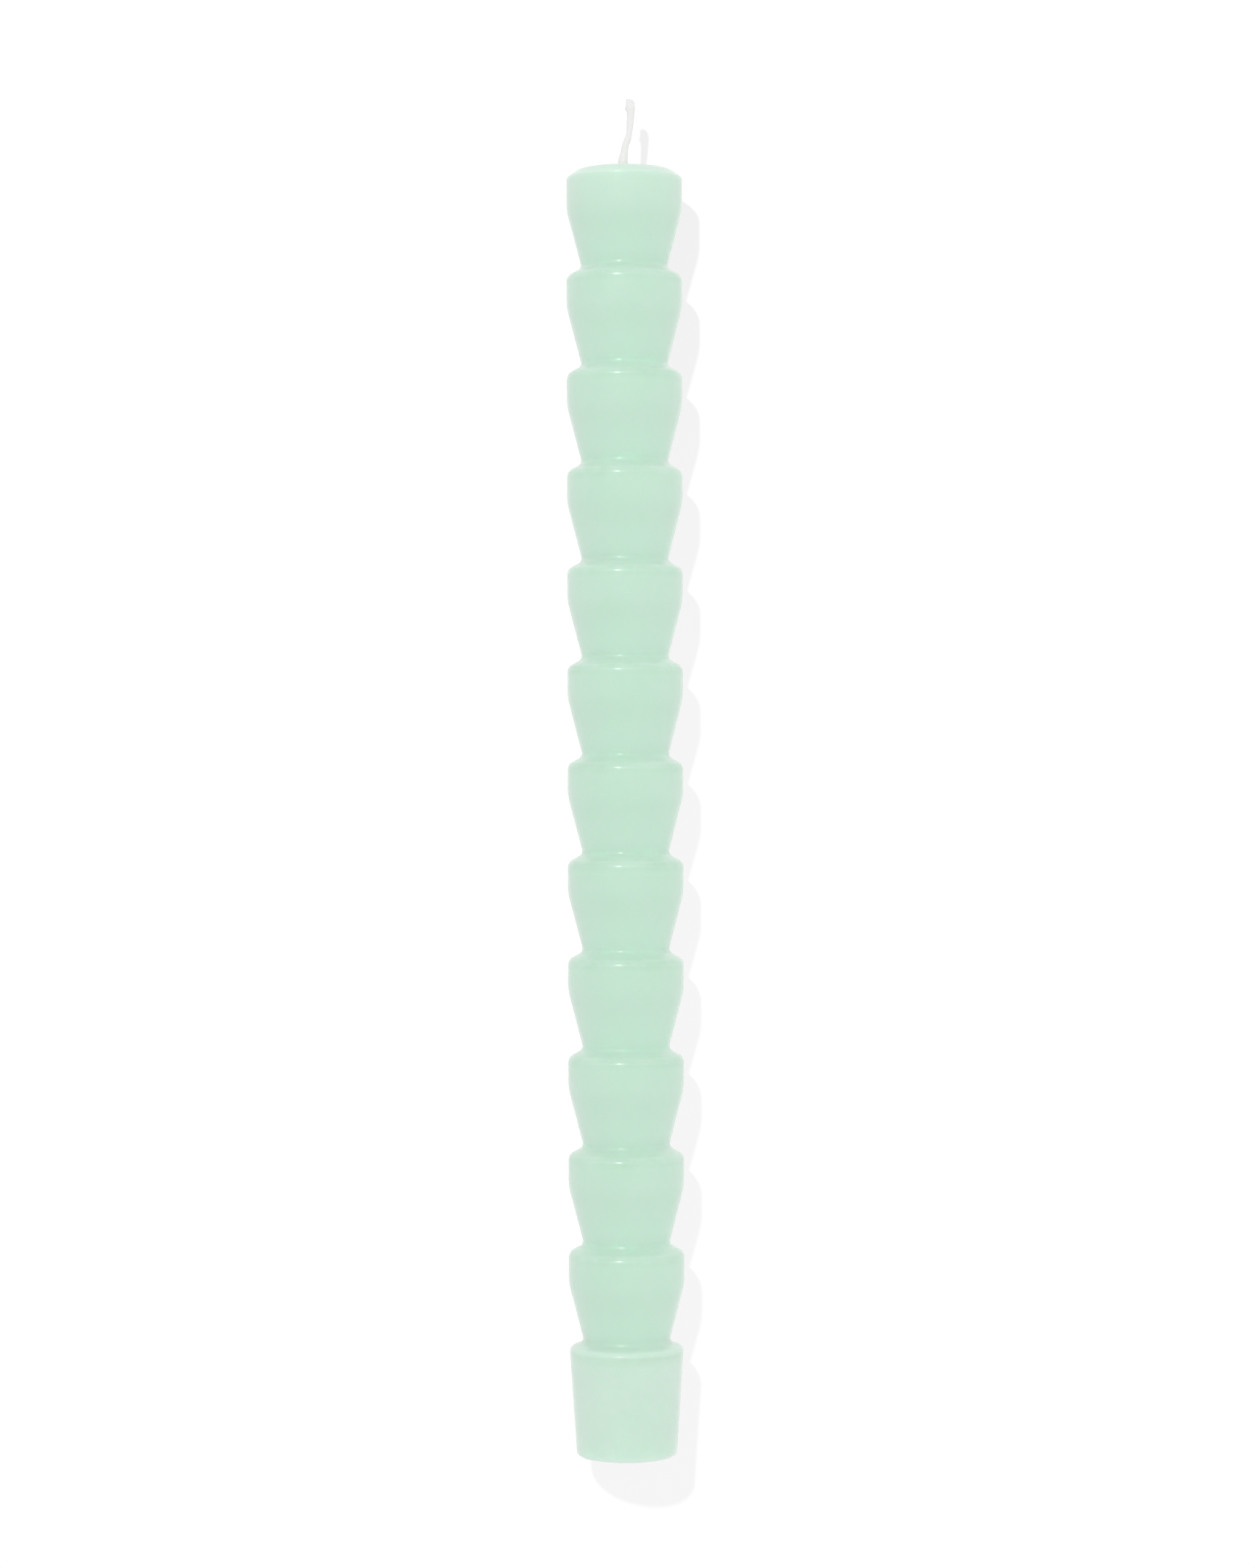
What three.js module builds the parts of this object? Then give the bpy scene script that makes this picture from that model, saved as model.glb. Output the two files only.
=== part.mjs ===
// A moulded column candle: a stack of flared wax segments on a tapered plug, with a braided cotton wick.
// Millimetres, +Z up. The origin is the centre of the base, on the surface that the candle stands on.

import * as THREE from 'three';

// The wax column: flared segments, each narrowest at its lower neck
const SEGMENT_COUNT = 12;
const SEGMENT_PITCH = 19;
const BAND_RADIUS = 11.3;
const BAND_HEIGHT = 6;
const SHOULDER_HEIGHT = 1.6;
const NECK_DEPTH = 2.97;
const NECK_FILLET = 1.2;
const SHOULDER_FILLET = 1.8;
const FLARE_FILLET = 10.9;

// The top segment's shoulder is a little higher and sharper, and a short slope joins it to the top face
const TOP_SHOULDER_RISE = 0.15;
const TOP_SHOULDER_FILLET = 0.75;
const TOP_FACE_INSET = 2.1;
const TOP_FILLET = 0.6;

// The plug that goes into a candle holder's socket
const PLUG_TOP_RADIUS = 11.15;
const PLUG_FOOT_RADIUS = 9.77;
const PLUG_HEIGHT = 22.17;
const PLUG_SHOULDER_HEIGHT = 1;
const PLUG_SHOULDER_FILLET = 1.2;
const PLUG_FOOT_FILLET = 1;

// The wick, which the wax holds from just above the base to the top face
const WICK_DIAMETER = 1.6;
const WICK_CLEARANCE = 0.3;
const WICK_END_RECESS = 0.3;

// The bare end of the wick: x and y from the axis, and the height above the wax
const BARE_WICK = [
  [-0.15, 0.3, 1.4],
  [0, 0.6, 3.1],
  [0.24, 0.8, 4.4],
  [0.55, 0.95, 5.5],
  [0.95, 1.1, 6.7],
  [1.13, 1.25, 7.8],
  [1.3, 1.4, 9.4],
  [1.38, 1.55, 11.2],
  [1.4, 1.7, 12.8],
  [1.38, 1.8, 14.3],
];

// How finely round shapes are divided
const FACETS_AROUND = 32;
const DEGREES_PER_FACET = 21;
const WICK_SIDES = 8;
const WICK_STEP_IN_DIAMETERS = 2.1;

const waxTop = PLUG_HEIGHT + SEGMENT_COUNT * SEGMENT_PITCH;
const neckRadius = BAND_RADIUS - NECK_DEPTH;
const boreRadius = WICK_DIAMETER / 2 + WICK_CLEARANCE;

const wax = new THREE.MeshStandardMaterial({ color: '#c4e5d2', roughness: 0.42, metalness: 0 });
const cotton = new THREE.MeshStandardMaterial({ color: '#edece7', roughness: 0.9, metalness: 0 });

// The points of the arc that rounds one corner of an outline, or the corner itself where it is sharp.
// The arc takes at most half of each straight stretch beside it.
function roundedCorner(before, corner, after, fillet) {
  const back = before.clone().sub(corner);
  const ahead = after.clone().sub(corner);
  const halfAngle = Math.abs(Math.atan2(back.cross(ahead), back.dot(ahead))) / 2;
  const cut = Math.min(fillet / Math.tan(halfAngle), back.length() / 2, ahead.length() / 2);
  if (cut === 0) return [corner];

  const start = back.setLength(cut).add(corner);
  const end = ahead.setLength(cut).add(corner);
  const middle = start.clone().add(end).divideScalar(2);
  const centre = middle.clone().sub(corner).setLength(cut / Math.cos(halfAngle)).add(corner);
  const turn = Math.PI - 2 * halfAngle;
  const steps = Math.ceil(THREE.MathUtils.radToDeg(turn) / DEGREES_PER_FACET);
  const way = Math.sign(start.clone().sub(centre).cross(end.clone().sub(centre)));
  return Array.from({ length: steps + 1 }, (_, i) => start.clone().rotateAround(centre, (way * turn * i) / steps));
}

// Corners are [radius, height, fillet]. The outline closes on itself.
function roundedOutline(corners) {
  const points = corners.map(([radius, height]) => new THREE.Vector2(radius, height));
  const outline = corners.flatMap(([, , fillet = 0], i) => {
    const before = points.at(i - 1);
    const after = points[(i + 1) % points.length];
    return roundedCorner(before, points[i], after, fillet);
  });
  return [...outline, outline[0].clone()];
}

function makeWaxBody() {
  const corners = [
    [boreRadius, 0],
    [PLUG_FOOT_RADIUS, 0, PLUG_FOOT_FILLET],
    [PLUG_TOP_RADIUS, PLUG_HEIGHT - PLUG_SHOULDER_HEIGHT, PLUG_SHOULDER_FILLET],
  ];
  for (let i = 0; i < SEGMENT_COUNT; i += 1) {
    const isTop = i === SEGMENT_COUNT - 1;
    const neckHeight = PLUG_HEIGHT + i * SEGMENT_PITCH;
    const shoulderHeight = neckHeight + SEGMENT_PITCH - SHOULDER_HEIGHT;
    const rise = isTop ? TOP_SHOULDER_RISE : 0;
    corners.push([neckRadius, neckHeight, NECK_FILLET]);
    corners.push([BAND_RADIUS, shoulderHeight - BAND_HEIGHT, FLARE_FILLET]);
    corners.push([BAND_RADIUS, shoulderHeight + rise, isTop ? TOP_SHOULDER_FILLET : SHOULDER_FILLET]);
  }
  corners.push([BAND_RADIUS - TOP_FACE_INSET, waxTop, TOP_FILLET]);
  corners.push([boreRadius, waxTop]);

  const geometry = new THREE.LatheGeometry(roundedOutline(corners), FACETS_AROUND);
  geometry.rotateX(Math.PI / 2);
  const mesh = new THREE.Mesh(geometry, wax);
  mesh.name = 'wax_body';
  return mesh;
}

function makeWick() {
  const route = new THREE.CatmullRomCurve3(
    [
      new THREE.Vector3(0, 0, WICK_END_RECESS),
      new THREE.Vector3(0, 0, waxTop - WICK_DIAMETER),
      new THREE.Vector3(0, 0, waxTop),
      ...BARE_WICK.map(([x, y, height]) => new THREE.Vector3(x, y, waxTop + height)),
    ],
    false,
    'centripetal',
  );
  const section = new THREE.Shape();
  for (let i = 0; i < WICK_SIDES; i += 1) {
    const angle = ((i + 0.5) / WICK_SIDES) * 2 * Math.PI;
    const x = (WICK_DIAMETER / 2) * Math.cos(angle);
    const y = (WICK_DIAMETER / 2) * Math.sin(angle);
    if (i === 0) section.moveTo(x, y);
    else section.lineTo(x, y);
  }
  section.closePath();

  const steps = Math.ceil(route.getLength() / (WICK_STEP_IN_DIAMETERS * WICK_DIAMETER));
  const geometry = new THREE.ExtrudeGeometry(section, { extrudePath: route, steps, curveSegments: 1 });
  const mesh = new THREE.Mesh(geometry, cotton);
  mesh.name = 'wick';
  return mesh;
}

const candle = new THREE.Group();
candle.add(makeWaxBody(), makeWick());

export default candle;
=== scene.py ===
"""The looks of a moulded candle: flared wax segments on a tapered plug, with a braided cotton wick.

Metres, +Z up. The photograph looks straight down on the candle, which lies on a white surface. Here the
candle stands upright in its own frame, so that surface is the upright plane that touches its back.
"""
import math
import random

import bpy
from mathutils import Matrix, Vector, noise


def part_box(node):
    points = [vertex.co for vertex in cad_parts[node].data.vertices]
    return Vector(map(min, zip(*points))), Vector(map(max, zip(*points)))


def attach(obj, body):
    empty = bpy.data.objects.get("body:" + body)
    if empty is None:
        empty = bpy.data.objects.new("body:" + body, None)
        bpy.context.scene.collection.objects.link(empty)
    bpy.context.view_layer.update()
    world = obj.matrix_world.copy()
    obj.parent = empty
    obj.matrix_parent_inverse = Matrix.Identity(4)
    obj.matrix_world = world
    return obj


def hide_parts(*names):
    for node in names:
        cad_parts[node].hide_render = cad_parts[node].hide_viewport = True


# The camera. The sensor's long side and the lens are in millimetres.
CAMERA_SENSOR = 36
CAMERA_DISTANCE = 0.740
CAMERA_RIGHT = 0.00038
CAMERA_HEIGHT = 0.13075
CAMERA_LENS = 87.2
CAMERA_ROLL = math.radians(-0.134)
CAMERA_CLIP = 0.01

# The light: a soft white fill, and one small lamp at the upper left behind the camera.
# The shares are of the light that reaches a surface facing the camera.
# The fill leans the other way: it is that much stronger from the right and from below.
FILL_SHARE = 0.82
FILL_LEAN = (0.10, 0, -0.04)
KEY_SHARE = 0.18
KEY_PLACE = Vector((-0.485, -1.75, 1.06))
KEY_RADIUS = 0.045

# The white surface. It is a dim diffuse layer, which a lamp of its own lights, over a glow.
# The shade is what its brightness loses in the shadow. Its grey and glow change with height, a painted
# shade that makes the shadow deeper beside the candle's top.
FLOOR_SIZE = 2.4
FLOOR_LAMP_SHARE = 2.2
FLOOR_HEADROOM = 0.015
SHADE_LOW = 0.082
SHADE_HIGH = 0.130
SHADE_FROM = 0.11
SHADE_TO = 0.26

# The wax column: flared segments, each narrowest at its lower neck
SEGMENT_COUNT = 12
SEGMENT_PITCH = 0.019
BAND_HEIGHT = 0.006
SHOULDER_HEIGHT = 0.0016
NECK_DEPTH = 0.00297
NECK_FILLET = 0.0012
SHOULDER_FILLET = 0.0018
FLARE_FILLET = 0.0109

# The top segment's shoulder is a little higher and sharper, and a short slope joins it to the top face
TOP_SHOULDER_RISE = 0.00015
TOP_SHOULDER_FILLET = 0.00075
TOP_FACE_INSET = 0.0021
TOP_FILLET = 0.0006

# The wax that climbs the wick
COLLAR_RADIUS = 0.0026
COLLAR_WAIST = 0.0004
COLLAR_WAIST_HEIGHT = 0.0003
COLLAR_HEIGHT = 0.0009
COLLAR_FILLET = 0.0015

# The plug that goes into a candle holder's socket
PLUG_TOP_RADIUS = 0.01115
PLUG_FOOT_RADIUS = 0.00977
PLUG_HEIGHT = 0.02217
PLUG_SHOULDER_HEIGHT = 0.001
PLUG_SHOULDER_FILLET = 0.0012
PLUG_FOOT_FILLET = 0.001

# The small dimple round the wick's lower end
DIMPLE_WIDTH = 0.0006
DIMPLE_DEPTH = 0.0008
DIMPLE_FILLET = 0.0003

# The wax surface's unevenness, which only goes inwards, and its shallow dents
SWELL_SPAN = 0.012
SWELL_DEPTH = 0.00006
RIPPLE_SPAN = 0.003
RIPPLE_DEPTH = 0.000012
DENT_COUNT = 26
DENT_WIDTH = (0.0006, 0.0019)
DENT_DEPTH = (0.00002, 0.00006)
DENT_REACH_IN_WIDTHS = 3
DENT_SEED = 7

# The wick in the wax, and its cut lower end
WICK_RADIUS = 0.0008
WICK_END_RECESS = 0.0003
BORE_CLEARANCE = 0.00006

# The stretch just below the wax's top where the wick goes over from round to its bare shape
BARE_EASE = 0.0015

# The bare end of the wick: x and y from the axis, height above the wax, width, thickness
BARE_WICK = [
    (-0.00052, 0.00010, 0.0002, 0.00240, 0.00185),
    (-0.00040, 0.00030, 0.0012, 0.00218, 0.00165),
    (-0.00024, 0.00045, 0.0021, 0.00192, 0.00155),
    (-0.00016, 0.00060, 0.0027, 0.00177, 0.00150),
    (0.00004, 0.00078, 0.0038, 0.00145, 0.00135),
    (0.00024, 0.00092, 0.0050, 0.00134, 0.00130),
    (0.00060, 0.00105, 0.0061, 0.00148, 0.00125),
    (0.00096, 0.00120, 0.0073, 0.00118, 0.00120),
    (0.00120, 0.00138, 0.0095, 0.00137, 0.00130),
    (0.00130, 0.00145, 0.0112, 0.00146, 0.00135),
    (0.00128, 0.00145, 0.0125, 0.00176, 0.00150),
    (0.00125, 0.00140, 0.0143, 0.00172, 0.00145),
]

# The slanted cut at the wick's tip with its rounded rim, and the bead of wax beside it
CUT_DROP = 0.0011
CUT_REACH = 0.0020
CUT_WAY = Vector((0.71, -0.71))
CUT_DOME = 0.00006
RIM_ROUNDING = 0.0003
RIM_SHRINK = 0.16
BEAD_BELOW_TIP = 0.0020
BEAD_HALF_HEIGHT = 0.0004
BEAD_DEPTH = 0.0002
BEAD_SHARPNESS = 3

# The braid: strands that wind both ways round the cord, each over one and under the next.
# A strand that goes under another stands out by the low share only.
BRAID_STRANDS = 4
BRAID_PITCH = 0.0013
BRAID_DEPTH = 0.00004
BRAID_LOW = 0.45

# How finely round shapes are divided
WAX_SIDES = 128
WAX_STEP = 0.0007
ARC_STEP = math.radians(7)
WICK_SIDES = 40
WICK_FINE_STEP = 0.00011
WICK_HIDDEN_STEP = 0.004
WICK_END_RINGS = (0.8, 0.5, 0.2)

# The wax's colours, as linear light. Painted light makes it paler in the thin necks, in a band at each
# neck, at both ends and beside the wick, and painted shade makes it deeper on the shoulders. The groove's
# and the shade's heights are from a neck.
WAX_BODY = (0.568, 0.781, 0.646, 1)
WAX_NECK_PAINTED_LIGHT = (0.592, 0.828, 0.685, 1)
WAX_GROOVE_PAINTED_LIGHT = (0.615, 0.875, 0.725, 1)
SHOULDER_PAINTED_SHADE = (0.873, 0.894, 0.867, 1)
WAX_PALE_PAINTED_LIGHT = (0.645, 0.812, 0.705, 1)
WAX_AT_WICK_PAINTED_LIGHT = (0.640, 0.930, 0.745, 1)
WAX_CLOUD = (0.600, 0.787, 0.670, 1)
WAX_SPECK = (0.400, 0.640, 0.500, 1)
NECK_REACH = 0.0022
GROOVE_HEIGHT = 0.0003
GROOVE_REACH = 0.0013
SHOULDER_SHADE_HEIGHT = -0.0019
SHOULDER_SHADE_REACH = 0.0018
PALE_TOP_HEIGHT = 0.012
PALE_FOOT_REACH = 0.0012
CLOUD_EDGES = (0.4, 0.65)
CLOUD_SPAN = 0.011
CLOUD_SHARE = 0.5
CLOUDLET_SPAN = 0.0022
CLOUDLET_SHARE = 0.3
SPECK_SPAN = 0.011
SPECK_RADIUS = 0.00025
SPECK_CHANCE = 0.25

# The range that most values of a noise texture lie in
NOISE_RANGE = (0.3, 0.7)

# The wax's soft sheen under its glossier skin, and the skin's grain
WAX_IOR = 1.45
WAX_ROUGHNESS = (0.55, 0.7)
SKIN_ROUGHNESS = 0.24
SCATTER_SCALE = 0.0025
SCATTER_RADIUS = (1.0, 1.6, 1.2)
GRAIN_SPAN = 0.0005
GRAIN_DEPTH = 0.000003
SHEEN_SPAN = 0.006

# The cotton's colours. Wax has soaked up into its root, which is a little warmer.
COTTON = (0.780, 0.770, 0.768, 1)
COTTON_SHADE = (0.760, 0.750, 0.748, 1)
COTTON_ROOT = (0.825, 0.800, 0.775, 1)
ROOT_FADE = (0.0015, 0.0075)
FIBRE_WIDTH = 0.00012
FIBRE_LENGTH = 0.0009
FIBRE_DEPTH = 0.00002
FIBRE_EDGES = (0.35, 0.5)
COTTON_ROUGHNESS = (0.7, 0.55)
COTTON_SCATTER_IN_RADII = 3


def rounded_corner(before, corner, after, fillet):
    """The points of the arc that rounds a corner of an outline, or the corner alone where it is sharp."""
    back = before - corner
    ahead = after - corner
    half_angle = back.angle(ahead) / 2
    cut = min(fillet / math.tan(half_angle), back.length / 2, ahead.length / 2)
    if cut == 0:
        return [corner]
    start = corner + back.normalized() * cut
    end = corner + ahead.normalized() * cut
    inward = (back.normalized() + ahead.normalized()).normalized()
    centre = corner + inward * (cut / math.cos(half_angle))
    turn = math.pi - 2 * half_angle
    steps = math.ceil(turn / ARC_STEP)
    way = math.copysign(1, (start - centre).cross(end - centre))
    arms = [Matrix.Rotation(way * turn * i / steps, 2) @ (start - centre) for i in range(steps + 1)]
    return [centre + arm for arm in arms]


def rounded_outline(corners):
    """The outline through corners of (radius, height, fillet). It closes on itself."""
    points = [Vector(corner[:2]) for corner in corners]
    outline = []
    for i, corner in enumerate(corners):
        after = points[(i + 1) % len(points)]
        outline += rounded_corner(points[i - 1], points[i], after, corner[2])
    return outline


def divided(outline, longest):
    """The closed outline with points added, so that no stretch outside the bore is over the longest."""
    points = []
    for i, start in enumerate(outline):
        end = outline[(i + 1) % len(outline)]
        in_bore = start.x == end.x
        parts = 1 if in_bore else math.ceil((end - start).length / longest)
        points += [start.lerp(end, j / parts) for j in range(parts)]
    return points


def smooth(value):
    """0 up to 0, 1 from 1 on, and an even curve between."""
    value = min(max(value, 0), 1)
    return value * value * (3 - 2 * value)


def between(stations, height):
    """Smooth values at a height, between listed stations that hold their height at index 2."""
    heights = [station[2] for station in stations]
    height = min(max(height, heights[0]), heights[-1])
    i = next(k for k in range(1, len(stations)) if height <= heights[k])
    known = [Vector(stations[min(max(k, 0), len(stations) - 1)]) for k in range(i - 2, i + 2)]
    before, start, end, after = known
    span = end[2] - start[2]
    share = (height - start[2]) / span
    slope_in = (end - before) * (span / (end[2] - before[2]))
    slope_out = (after - start) * (span / (after[2] - start[2]))
    cube, square = share**3, share**2
    blend = start * (2 * cube - 3 * square + 1) + end * (3 * square - 2 * cube)
    return blend + slope_in * (cube - 2 * square + share) + slope_out * (cube - square)


def new_object(name, vertices, faces):
    """A mesh object with smooth faces."""
    mesh = bpy.data.meshes.new(name)
    mesh.from_pydata(vertices, [], faces)
    mesh.validate()
    mesh.shade_smooth()
    obj = bpy.data.objects.new(name, mesh)
    bpy.context.scene.collection.objects.link(obj)
    return obj


def ring_faces(ring_count, sides, closed):
    """The four-sided faces between rings of points, and from the last ring to the first if closed."""
    faces = []
    for i in range(ring_count if closed else ring_count - 1):
        low = i * sides
        high = (i + 1) % ring_count * sides
        for j in range(sides):
            k = (j + 1) % sides
            faces.append((low + j, low + k, high + k, high + j))
    return faces


def new_material(name):
    """A material with no nodes yet."""
    material = bpy.data.materials.new(name)
    material.use_nodes = True
    material.node_tree.nodes.clear()
    return material


def add_node(owner, kind, inputs=None, **settings):
    """A new node in a material or the world. An input is a value, or an output that is linked to it."""
    node = owner.node_tree.nodes.new(kind)
    for name, value in settings.items():
        setattr(node, name, value)
    for name, value in (inputs or {}).items():
        if isinstance(value, bpy.types.NodeSocket):
            owner.node_tree.links.new(value, node.inputs[name])
        else:
            node.inputs[name].default_value = value
    return node


def calculated(owner, operation, *values):
    """The result of one operation, such as ADD or ABSOLUTE, on its values."""
    return add_node(owner, "ShaderNodeMath", dict(enumerate(values)), operation=operation).outputs[0]


def ranged(owner, value, low, high, to_low=0, to_high=1):
    """The value moved from one range to another, and held at its ends."""
    inputs = {"Value": value, "From Min": low, "From Max": high, "To Min": to_low, "To Max": to_high}
    return add_node(owner, "ShaderNodeMapRange", inputs).outputs["Result"]


def mixed(material, share, colour, other, blend="MIX"):
    """The colour with that share of the other one in it. A colour mix has its sockets at 0, 6 and 7."""
    settings = {"data_type": "RGBA", "blend_type": blend}
    return add_node(material, "ShaderNodeMix", {0: share, 6: colour, 7: other}, **settings).outputs[2]


def grain(material, place, span):
    """Noise between 0 and 1 whose blotches are about that far apart."""
    return add_node(material, "ShaderNodeTexNoise", {"Vector": place, "Scale": 1 / span}).outputs[0]


def bumped(material, value, depth):
    """The normal of a surface that stands out by the value times a depth in metres."""
    inputs = {"Height": value, "Distance": depth}
    return add_node(material, "ShaderNodeBump", inputs).outputs["Normal"]


def make_camera():
    data = bpy.data.cameras.new("camera")
    data.sensor_width = CAMERA_SENSOR
    data.lens = CAMERA_LENS
    data.clip_start = CAMERA_CLIP
    camera = bpy.data.objects.new("camera", data)
    camera.location = (CAMERA_RIGHT, -CAMERA_DISTANCE, CAMERA_HEIGHT)
    camera.rotation_euler = (math.pi / 2, 0, 0)
    camera.rotation_euler.rotate_axis("Z", CAMERA_ROLL)
    bpy.context.scene.collection.objects.link(camera)
    bpy.context.scene.camera = camera


def make_lamp(name, share):
    """A small round lamp at the key's place, which adds that share to a surface that faces the camera."""
    target = Vector((0, 0, CAMERA_HEIGHT))
    way = KEY_PLACE - target
    facing = -way.y / way.length
    data = bpy.data.lights.new(name, "POINT")
    data.shadow_soft_size = KEY_RADIUS
    data.energy = share * 4 * math.pi**2 * way.length_squared / facing
    lamp = bpy.data.objects.new(name, data)
    lamp.location = KEY_PLACE
    bpy.context.scene.collection.objects.link(lamp)
    return lamp


def make_world():
    """White as the camera, gloss and glass see it, and a little dimmer as a light."""
    world = bpy.data.worlds.new("studio")
    bpy.context.scene.world = world
    world.use_nodes = True
    world.node_tree.nodes.clear()
    way = add_node(world, "ShaderNodeTexCoord").outputs["Generated"]
    lean = add_node(world, "ShaderNodeVectorMath", {0: way, 1: FILL_LEAN}, operation="DOT_PRODUCT")
    fill = ranged(world, lean.outputs["Value"], -1, 1, 0, 2 * FILL_SHARE)

    path = add_node(world, "ShaderNodeLightPath").outputs
    seen = calculated(world, "ADD", path["Is Camera Ray"], path["Is Glossy Ray"])
    seen = calculated(world, "ADD", seen, path["Is Transmission Ray"])
    strength = add_node(world, "ShaderNodeMix", {0: seen, 2: fill, 3: 1}).outputs[0]
    background = add_node(world, "ShaderNodeBackground", {"Color": (1, 1, 1, 1), "Strength": strength})
    add_node(world, "ShaderNodeOutputWorld", {"Surface": background.outputs[0]})


def floor_material():
    """White where the floor's lamp reaches it, a pale grey in the shadow, and clear from behind."""
    material = new_material("white_surface")
    place = add_node(material, "ShaderNodeTexCoord").outputs["Object"]
    height = add_node(material, "ShaderNodeSeparateXYZ", {0: place}).outputs["Z"]
    # Painted shade: the shadow is made deeper higher up.
    rise = ranged(material, height, SHADE_FROM, SHADE_TO)
    square = calculated(material, "MULTIPLY", rise, rise)

    shades = (SHADE_LOW, SHADE_HIGH)
    greys = [(shade + FLOOR_HEADROOM) / FLOOR_LAMP_SHARE for shade in shades]
    glows = [1 - shade - grey * FILL_SHARE for shade, grey in zip(shades, greys)]
    grey = ranged(material, square, 0, 1, *greys)
    diffuse = add_node(material, "ShaderNodeBsdfDiffuse", {"Color": grey})
    strength = ranged(material, square, 0, 1, *glows)
    glow = add_node(material, "ShaderNodeEmission", {"Strength": strength})
    both = add_node(material, "ShaderNodeAddShader", {0: diffuse.outputs[0], 1: glow.outputs[0]})
    clear = add_node(material, "ShaderNodeBsdfTransparent")
    back = add_node(material, "ShaderNodeNewGeometry").outputs["Backfacing"]
    mix = add_node(material, "ShaderNodeMixShader", {0: back, 1: both.outputs[0], 2: clear.outputs[0]})
    add_node(material, "ShaderNodeOutputMaterial", {"Surface": mix.outputs[0]})
    return material


def make_floor(back):
    """The white surface that the candle lies on, with a lamp that lights nothing else."""
    half = FLOOR_SIZE / 2
    corners = ((-half, -half), (half, -half), (half, half), (-half, half))
    vertices = [(x, back, CAMERA_HEIGHT + z) for x, z in corners]
    floor = new_object("white_surface", vertices, [(0, 1, 2, 3)])
    floor.data.materials.append(floor_material())
    floor.visible_diffuse = False
    floor.visible_glossy = False
    floor.visible_transmission = False
    floor.visible_shadow = False

    lamp = make_lamp("floor_lamp", FLOOR_LAMP_SHARE)
    only = bpy.data.collections.new("lit_by_floor_lamp")
    only.objects.link(floor)
    lamp.light_linking.receiver_collection = only


def near_necks(material, height, middle, reach):
    """1 at a height that is counted from the nearest neck, falling to 0 at a distance from it.

    The plug's lower part has no neck, so it is taken as lying half a segment below the lowest one.
    """
    half = SEGMENT_PITCH / 2
    off_foot = calculated(material, "MAXIMUM", height, PLUG_HEIGHT - half)
    above = calculated(material, "SUBTRACT", off_foot, PLUG_HEIGHT + middle)
    nearest = calculated(material, "WRAP", above, half, -half)
    distance = calculated(material, "ABSOLUTE", nearest)
    return ranged(material, distance, 0, reach, 1, 0)


def axis_distance(material, place):
    """How far a place is from the candle's axis."""
    arm = add_node(material, "ShaderNodeVectorMath", {0: place, 1: (1, 1, 0)}, operation="MULTIPLY")
    length = add_node(material, "ShaderNodeVectorMath", {0: arm.outputs[0]}, operation="LENGTH")
    return length.outputs["Value"]


def wax_colour(material, place, band_radius, wax_top):
    """The wax's colour: painted light in the necks, at the ends and beside the wick, painted shade on the
    shoulders, faint clouds and a few dark specks.
    """
    height = add_node(material, "ShaderNodeSeparateXYZ", {0: place}).outputs["Z"]
    radius = axis_distance(material, place)
    neck_radius = band_radius - NECK_DEPTH
    # Painted light: the wax is paler towards the narrow necks.
    painted_neck_light = ranged(material, radius, neck_radius, neck_radius + NECK_REACH, 1, 0)
    colour = mixed(material, painted_neck_light, WAX_BODY, WAX_NECK_PAINTED_LIGHT)
    # Painted light: paler still in a narrow band round each neck.
    painted_groove_light = near_necks(material, height, GROOVE_HEIGHT, GROOVE_REACH)
    colour = mixed(material, painted_groove_light, colour, WAX_GROOVE_PAINTED_LIGHT)
    # Painted light: paler over the plug, fading above its shoulder.
    foot_low = PLUG_HEIGHT - PLUG_SHOULDER_HEIGHT
    painted_foot_light = ranged(material, height, foot_low, PLUG_HEIGHT + PALE_FOOT_REACH, 1, 0)
    colour = mixed(material, painted_foot_light, colour, WAX_PALE_PAINTED_LIGHT)
    # Painted shade: the colour is multiplied darker on the shoulders below each neck.
    painted_shoulder_shade = near_necks(material, height, SHOULDER_SHADE_HEIGHT, SHOULDER_SHADE_REACH)
    colour = mixed(material, painted_shoulder_shade, colour, SHOULDER_PAINTED_SHADE, "MULTIPLY")
    # Painted light: paler towards the top of the wax.
    painted_top_light = ranged(material, height, wax_top - PALE_TOP_HEIGHT, wax_top)
    colour = mixed(material, painted_top_light, colour, WAX_PALE_PAINTED_LIGHT)

    for span, share in ((CLOUD_SPAN, CLOUD_SHARE), (CLOUDLET_SPAN, CLOUDLET_SHARE)):
        clouds = grain(material, place, span)
        colour = mixed(material, ranged(material, clouds, *CLOUD_EDGES, 0, share), colour, WAX_CLOUD)

    # Painted light: paler in the wax that climbs the wick.
    at_wick = ranged(material, radius, WICK_RADIUS, COLLAR_RADIUS, 1, 0)
    colour = mixed(material, at_wick, colour, WAX_AT_WICK_PAINTED_LIGHT)

    cells = add_node(material, "ShaderNodeTexVoronoi", {"Vector": place, "Scale": 1 / SPECK_SPAN})
    speck_edge = SPECK_RADIUS / SPECK_SPAN
    near = ranged(material, cells.outputs["Distance"], speck_edge / 2, speck_edge, 1, 0)
    lot = add_node(material, "ShaderNodeSeparateColor", {0: cells.outputs["Color"]}).outputs[0]
    drawn = calculated(material, "LESS_THAN", lot, SPECK_CHANCE)
    speck = calculated(material, "MULTIPLY", near, drawn)
    return mixed(material, speck, colour, WAX_SPECK)


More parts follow.
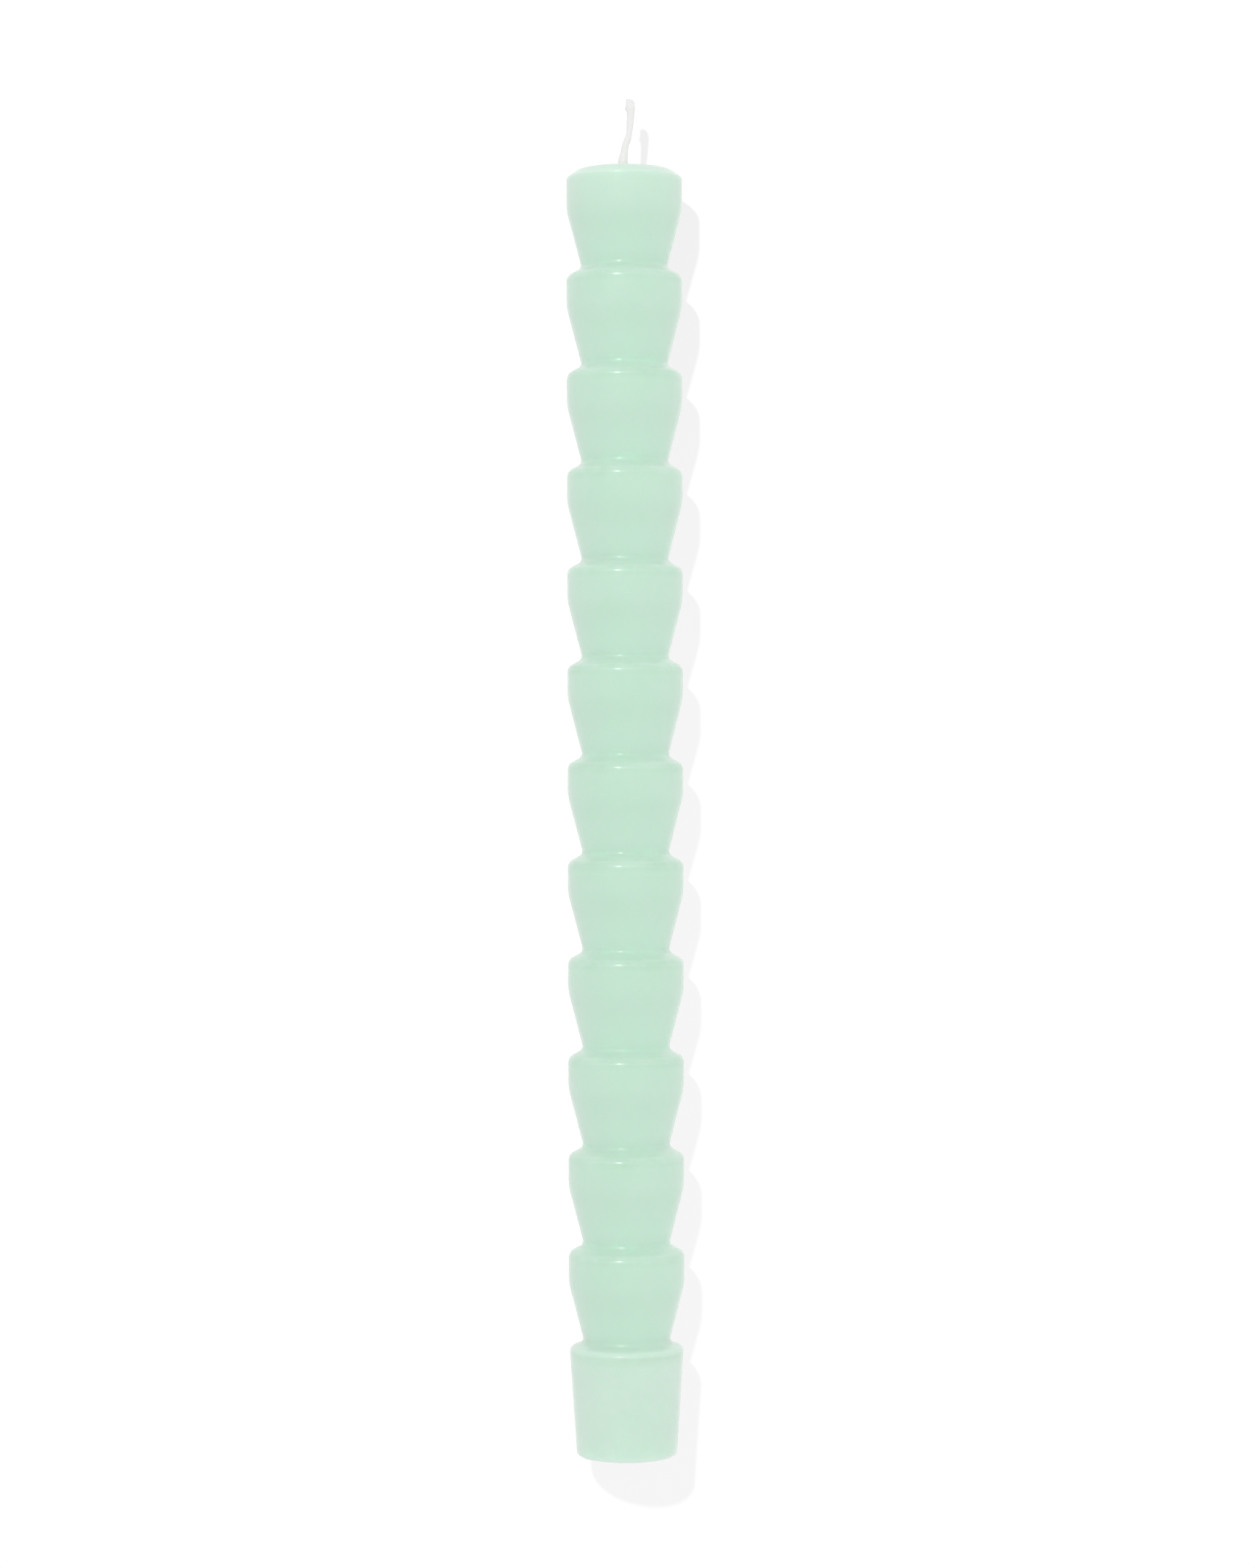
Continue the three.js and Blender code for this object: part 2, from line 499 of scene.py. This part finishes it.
def wax_material(band_radius, wax_top):
    """Dyed candle wax: translucent and satin, with a glossier skin and a very fine grain."""
    material = new_material("mint_wax")
    place = add_node(material, "ShaderNodeTexCoord").outputs["Object"]
    colour = wax_colour(material, place, band_radius, wax_top)
    roughness = ranged(material, grain(material, place, SHEEN_SPAN), *NOISE_RANGE, *WAX_ROUGHNESS)
    bump = bumped(material, grain(material, place, GRAIN_SPAN), GRAIN_DEPTH)
    shader = add_node(
        material,
        "ShaderNodeBsdfPrincipled",
        {
            "Base Color": colour,
            "Roughness": roughness,
            "IOR": WAX_IOR,
            "Normal": bump,
            "Subsurface Weight": 1,
            "Subsurface Radius": SCATTER_RADIUS,
            "Subsurface Scale": SCATTER_SCALE,
            "Coat Weight": 1,
            "Coat Roughness": SKIN_ROUGHNESS,
            "Coat Normal": bump,
        },
    )
    add_node(material, "ShaderNodeOutputMaterial", {"Surface": shader.outputs[0]})
    return material


def cotton_material(wax_top):
    """Waxed cotton: fine fibres along the cord, with painted shade between them, and warmer at the root.
    """
    material = new_material("waxed_cotton")
    place = add_node(material, "ShaderNodeTexCoord").outputs["Object"]
    height = add_node(material, "ShaderNodeSeparateXYZ", {0: place}).outputs["Z"]
    stretch = (1, 1, FIBRE_WIDTH / FIBRE_LENGTH)
    drawn_out = add_node(material, "ShaderNodeVectorMath", {0: place, 1: stretch}, operation="MULTIPLY")
    fibres = grain(material, drawn_out.outputs[0], FIBRE_WIDTH)
    root_low, root_high = ROOT_FADE
    root = ranged(material, height, wax_top + root_low, wax_top + root_high, 1, 0)
    colour = mixed(material, root, COTTON, COTTON_ROOT)
    # Painted shade: greyer between the fibres.
    colour = mixed(material, ranged(material, fibres, *FIBRE_EDGES, 1, 0), colour, COTTON_SHADE)
    shader = add_node(
        material,
        "ShaderNodeBsdfPrincipled",
        {
            "Base Color": colour,
            "Roughness": ranged(material, fibres, *NOISE_RANGE, *COTTON_ROUGHNESS),
            "Normal": bumped(material, fibres, FIBRE_DEPTH),
            "Subsurface Weight": 1,
            "Subsurface Radius": (1, 1, 1),
            "Subsurface Scale": COTTON_SCATTER_IN_RADII * WICK_RADIUS,
        },
    )
    add_node(material, "ShaderNodeOutputMaterial", {"Surface": shader.outputs[0]})
    return material


def wax_outline(band_radius, wax_top):
    """The wax's closed outline: up the outside, over the top to the wick, and down the bore."""
    neck_radius = band_radius - NECK_DEPTH
    bore = WICK_RADIUS + BORE_CLEARANCE
    corners = [
        (bore, DIMPLE_DEPTH, 0),
        (bore + DIMPLE_WIDTH, 0, DIMPLE_FILLET),
        (PLUG_FOOT_RADIUS, 0, PLUG_FOOT_FILLET),
        (PLUG_TOP_RADIUS, PLUG_HEIGHT - PLUG_SHOULDER_HEIGHT, PLUG_SHOULDER_FILLET),
    ]
    for i in range(SEGMENT_COUNT):
        is_top = i == SEGMENT_COUNT - 1
        rise = TOP_SHOULDER_RISE if is_top else 0
        neck_height = PLUG_HEIGHT + i * SEGMENT_PITCH
        shoulder_height = neck_height + SEGMENT_PITCH - SHOULDER_HEIGHT
        corners += [
            (neck_radius, neck_height, NECK_FILLET),
            (band_radius, shoulder_height - BAND_HEIGHT, FLARE_FILLET),
            (band_radius, shoulder_height + rise, TOP_SHOULDER_FILLET if is_top else SHOULDER_FILLET),
        ]
    corners += [
        (band_radius - TOP_FACE_INSET, wax_top, TOP_FILLET),
        (COLLAR_RADIUS, wax_top, COLLAR_FILLET),
        (bore + COLLAR_WAIST, wax_top + COLLAR_WAIST_HEIGHT, COLLAR_WAIST),
        (bore, wax_top + COLLAR_HEIGHT, 0),
    ]
    return divided(rounded_outline(corners), WAX_STEP)


def make_dents(band_radius, wax_top):
    """Shallow dents from handling, as (place, width, depth)."""
    chance = random.Random(DENT_SEED)
    dents = []
    for _ in range(DENT_COUNT):
        angle = chance.uniform(0, 2 * math.pi)
        height = chance.uniform(0, wax_top)
        place = Vector((band_radius * math.cos(angle), band_radius * math.sin(angle), height))
        dents.append((place, chance.uniform(*DENT_WIDTH), chance.uniform(*DENT_DEPTH)))
    return dents


def sunk(point, dents):
    """How deep the surface lies below its plain shape at a point."""
    swell = 0.5 + 0.5 * noise.noise(point / SWELL_SPAN)
    ripple = 0.5 + 0.5 * noise.noise(point / RIPPLE_SPAN)
    depth = SWELL_DEPTH * swell + RIPPLE_DEPTH * ripple
    for place, width, dent_depth in dents:
        if abs(place.z - point.z) < DENT_REACH_IN_WIDTHS * width:
            depth += dent_depth * math.exp(-(place - point).length_squared / width**2)
    return depth


def make_wax(band_radius, wax_top):
    outline = wax_outline(band_radius, wax_top)
    dents = make_dents(band_radius, wax_top)
    bore = WICK_RADIUS + BORE_CLEARANCE
    vertices = []
    for i, point in enumerate(outline):
        before = outline[i - 1]
        after = outline[(i + 1) % len(outline)]
        along = (after - before).normalized()
        inward = Vector((-along.y, along.x))
        outside = point.x > COLLAR_RADIUS and point.y > 0
        x, y, _, width, depth = between(BARE_WICK, point.y - wax_top)
        at_wick = smooth((COLLAR_RADIUS - point.x) / (COLLAR_RADIUS - bore)) if point.y >= wax_top else 0
        for j in range(WAX_SIDES):
            angle = 2 * math.pi * j / WAX_SIDES
            arm = Vector((math.cos(angle), math.sin(angle), 0))
            place = arm * point.x
            place.z = point.y
            if outside:
                drop = sunk(place, dents)
                place += (arm * inward.x + Vector((0, 0, inward.y))) * drop
            reach = Vector((arm.x * (width / 2 - bore) + x, arm.y * (depth / 2 - bore) + y, 0))
            vertices.append(place + reach * at_wick)
    wax = new_object("wax", vertices, ring_faces(len(outline), WAX_SIDES, closed=True))
    wax.data.materials.append(wax_material(band_radius, wax_top))
    return wax


def braid(turn, length):
    """How far the braid stands out, from 0 to 1, at a share of a turn round the cord and a length."""
    one_way = BRAID_STRANDS * turn - length / BRAID_PITCH
    other_way = BRAID_STRANDS * turn + length / BRAID_PITCH
    highest = 0
    for here, there, start in ((one_way, other_way, 0), (other_way, one_way, 1)):
        strand = round(here)
        round_back = math.sqrt(max(0, 1 - (2 * (here - strand)) ** 2))
        lift = 0.5 + 0.5 * math.cos(math.pi * (there + strand + start))
        highest = max(highest, round_back * (BRAID_LOW + (1 - BRAID_LOW) * lift))
    return highest


def wick_ring(height, wax_top, tip_height):
    """One ring of the wick's surface. In the wax it is round, and above it the bare stations shape it."""
    x, y, _, width, depth = between(BARE_WICK, height - wax_top)
    bare = smooth((height - wax_top) / BARE_EASE + 1)
    x, y = x * bare, y * bare
    half_width = WICK_RADIUS + (width / 2 - WICK_RADIUS) * bare
    half_depth = WICK_RADIUS + (depth / 2 - WICK_RADIUS) * bare
    cut = smooth((height - tip_height + CUT_REACH) / CUT_REACH)
    in_rim = min(max((height - tip_height) / RIM_ROUNDING + 1, 0), 1)
    shrink = 1 - RIM_SHRINK * (1 - math.sqrt(1 - in_rim**2))
    half_width *= shrink
    half_depth *= shrink
    bead_at = (tip_height - BEAD_BELOW_TIP - height) / BEAD_HALF_HEIGHT
    ring = []
    for j in range(WICK_SIDES):
        turn = j / WICK_SIDES
        across = math.cos(2 * math.pi * turn)
        through = math.sin(2 * math.pi * turn)
        sink = BRAID_DEPTH * (1 - braid(turn, height)) * (1 - in_rim)
        bead = BEAD_DEPTH * math.exp(-(bead_at**2)) * max(0, -across) ** BEAD_SHARPNESS
        ring.append(
            (
                x + across * (half_width - sink + bead),
                y + through * (half_depth - sink),
                height - CUT_DROP * cut * (0.5 + 0.5 * CUT_WAY.dot((across, through))) ** 2,
            )
        )
    return ring


def close_end(vertices, faces, start, rise, flipped):
    """Closes the wick's ring of points that begins at that index. Its middle stands out by the rise."""
    ring = [Vector(point) for point in vertices[start : start + WICK_SIDES]]
    middle = sum(ring, Vector()) / WICK_SIDES
    added = []
    inner = start
    for share in WICK_END_RINGS:
        outer = inner
        inner = len(vertices)
        for point in ring:
            place = middle.lerp(point, share)
            place.z += rise * (1 - share**2)
            vertices.append(tuple(place))
        for j in range(WICK_SIDES):
            k = (j + 1) % WICK_SIDES
            added.append((outer + j, outer + k, inner + k, inner + j))
    centre = len(vertices)
    vertices.append((middle.x, middle.y, middle.z + rise))
    for j in range(WICK_SIDES):
        added.append((inner + j, inner + (j + 1) % WICK_SIDES, centre))
    faces += [face[::-1] for face in added] if flipped else added


def make_wick(wax_top, tip_height):
    """The braided cord, coarse inside the wax and fine where it is bare, with closed ends."""
    fine_from = wax_top - BARE_EASE
    heights = []
    height = WICK_END_RECESS
    while height < tip_height:
        heights.append(height)
        height += WICK_FINE_STEP if height > fine_from else WICK_HIDDEN_STEP
    heights.append(tip_height)
    rings = [wick_ring(height, wax_top, tip_height) for height in heights]

    vertices = [point for ring in rings for point in ring]
    faces = ring_faces(len(rings), WICK_SIDES, closed=False)
    top_ring = len(vertices) - WICK_SIDES
    close_end(vertices, faces, start=0, rise=0, flipped=True)
    close_end(vertices, faces, start=top_ring, rise=CUT_DOME, flipped=False)
    wick = new_object("braided_wick", vertices, faces)
    wick.data.materials.append(cotton_material(wax_top))
    return wick


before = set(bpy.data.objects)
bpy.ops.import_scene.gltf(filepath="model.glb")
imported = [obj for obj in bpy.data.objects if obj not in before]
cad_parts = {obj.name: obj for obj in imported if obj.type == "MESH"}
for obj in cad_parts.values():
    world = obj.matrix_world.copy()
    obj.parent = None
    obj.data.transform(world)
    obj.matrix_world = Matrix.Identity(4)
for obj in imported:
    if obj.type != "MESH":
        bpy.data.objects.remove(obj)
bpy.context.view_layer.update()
wax_low, wax_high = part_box("wax_body")
wick_low, wick_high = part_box("wick")

make_camera()
make_world()
make_lamp("key_lamp", KEY_SHARE)
make_floor(back=wax_high.y)

wax = make_wax(band_radius=wax_high.x, wax_top=wax_high.z)
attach(wax, "root")
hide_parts("wax_body")

wick = make_wick(wax_top=wax_high.z, tip_height=wick_high.z)
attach(wick, "root")
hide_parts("wick")

bpy.context.scene.view_settings.view_transform = "Standard"
